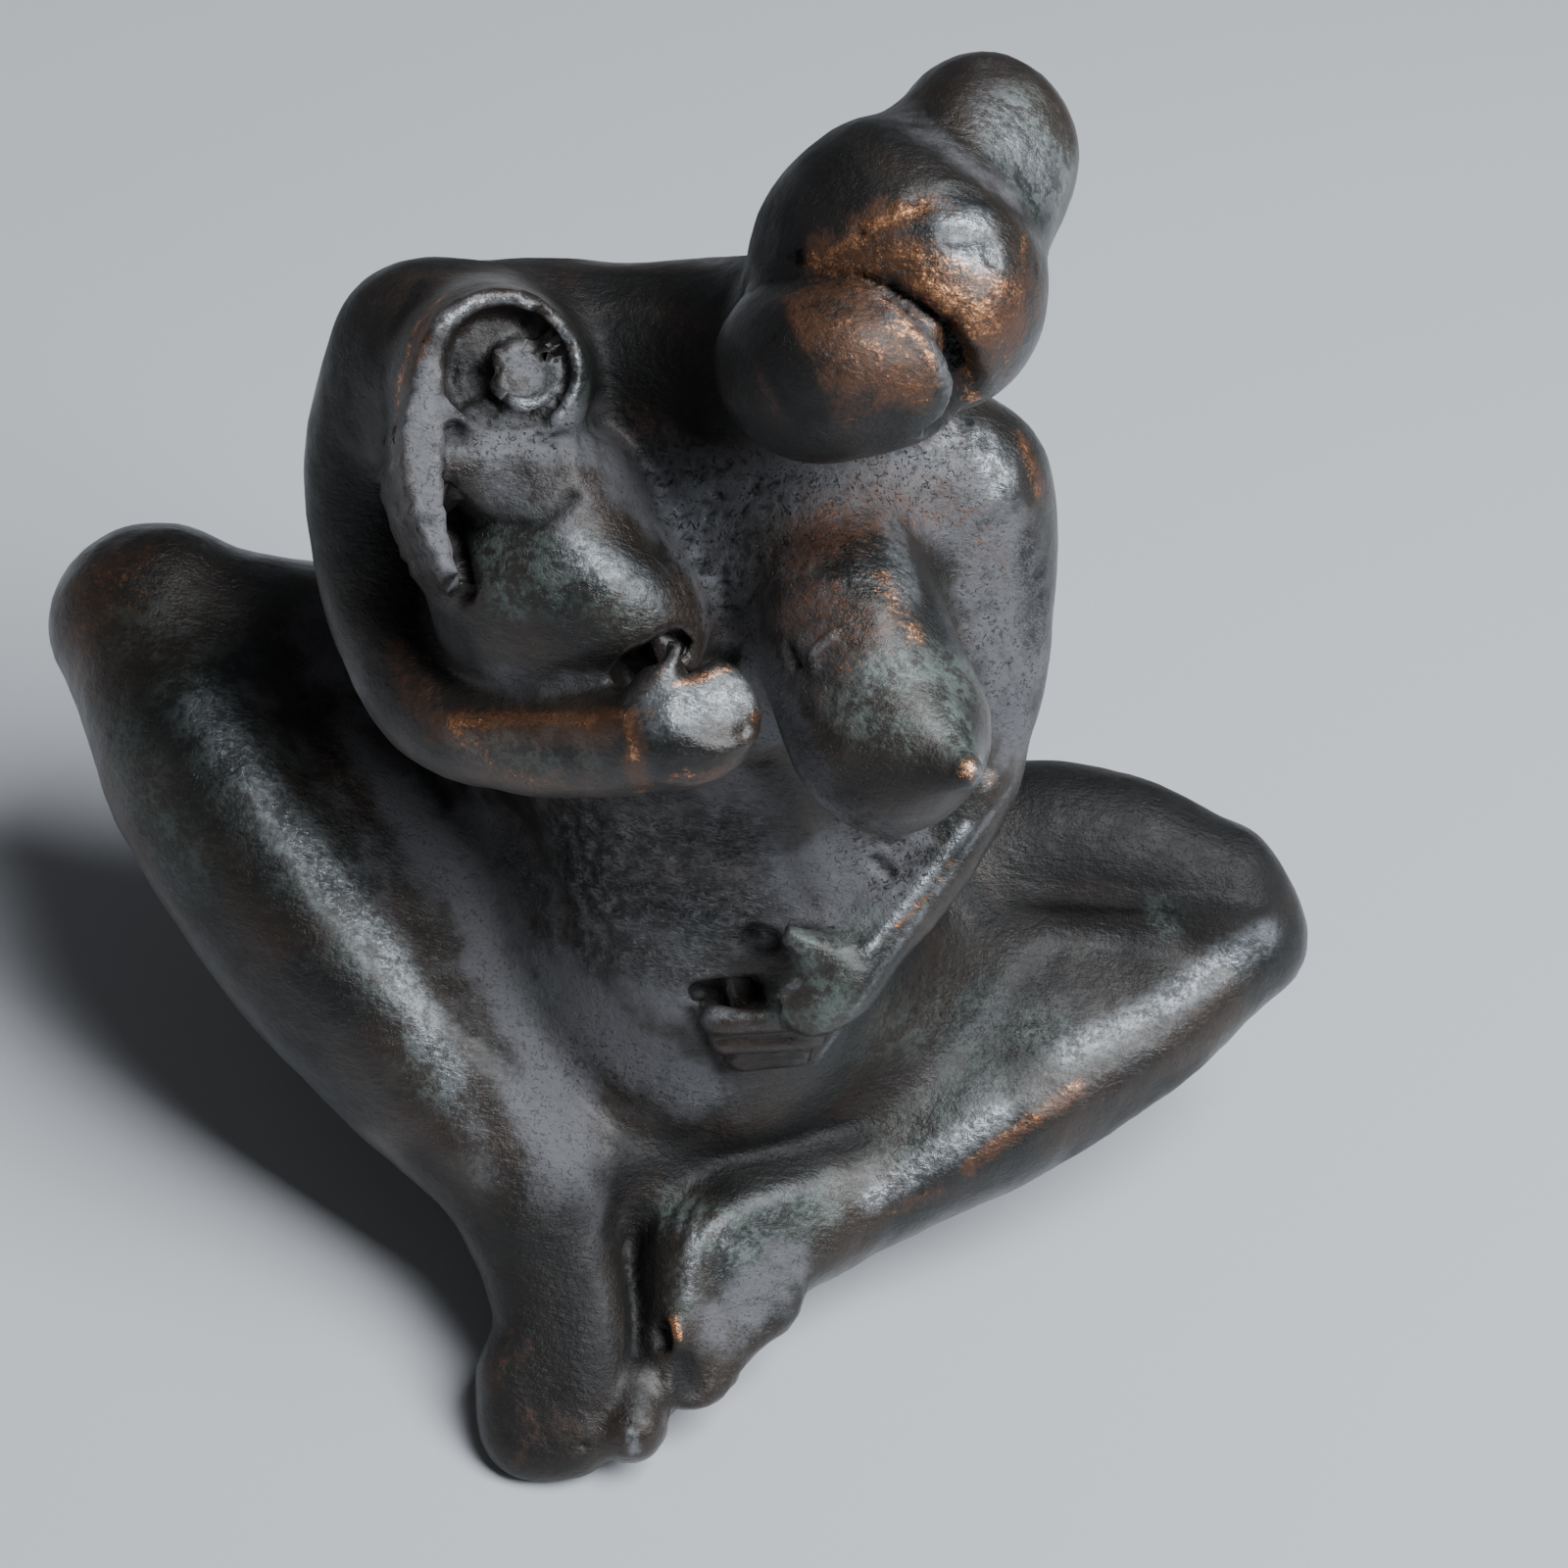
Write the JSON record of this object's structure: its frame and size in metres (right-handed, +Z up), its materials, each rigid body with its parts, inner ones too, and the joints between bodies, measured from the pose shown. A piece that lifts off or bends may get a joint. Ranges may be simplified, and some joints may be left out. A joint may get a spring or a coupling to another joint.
{
  "type": "seated mother goddess statuette",
  "caption": "Small patinated bronze of a seated nude woman, head bowed, holding a hooded bundle in the crook of one arm.",
  "frame": {"origin": "middle of the bounding box, on the surface that the statuette stands on", "axes": "+Z up, -Y the way the body faces, +X towards the figure's left side"},
  "size_m": [0.1292, 0.0812, 0.1239],
  "materials": {
    "patinated_bronze": "black-brown patina over cast bronze, dark green in the hollows, rubbed to copper on the high edges"
  },
  "bodies": {
    "root": {"goddess_figure": "patinated_bronze"}
  },
  "joints": []
}
